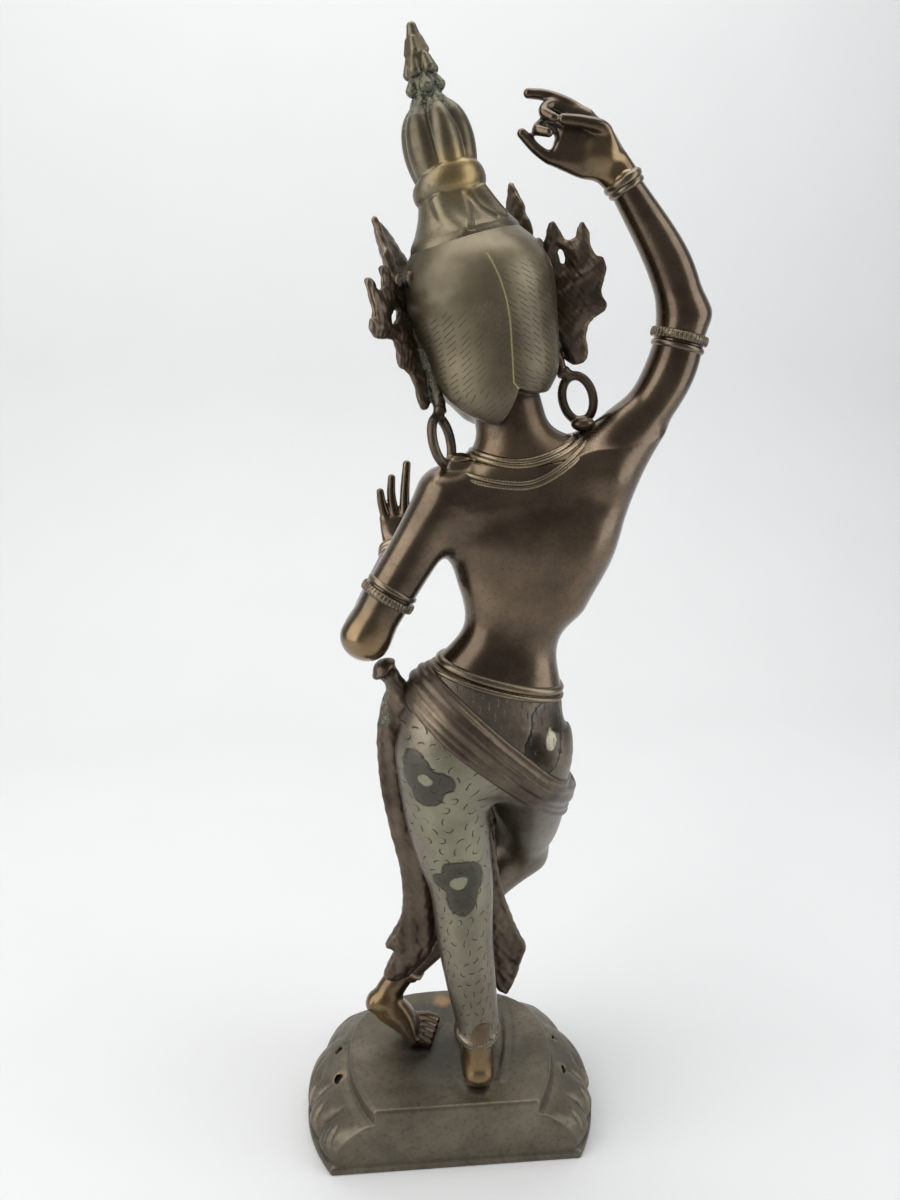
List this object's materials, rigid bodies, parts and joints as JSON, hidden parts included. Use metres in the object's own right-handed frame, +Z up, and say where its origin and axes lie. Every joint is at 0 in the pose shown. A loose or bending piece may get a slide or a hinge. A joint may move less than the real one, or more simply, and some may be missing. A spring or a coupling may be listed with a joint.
{
  "type": "dancer sculpture",
  "caption": "Standing bronze dancer with one arm raised and the legs crossed, crowned and draped, on a low half-round lotus base.",
  "frame": {"origin": "middle of the bounding box, on the standing plane under the base", "axes": "+Z up; the figure faces -Y and its left side is +X; the flat back of the base faces +Y"},
  "size_m": [0.14, 0.0824, 0.3803],
  "materials": {
    "bronze": "aged bronze, satin to glossy brown patina",
    "base_bronze": "aged bronze, satin grey-brown patina"
  },
  "bodies": {
    "root": {"dancer": "bronze", "lotus_base": "base_bronze"}
  },
  "joints": []
}
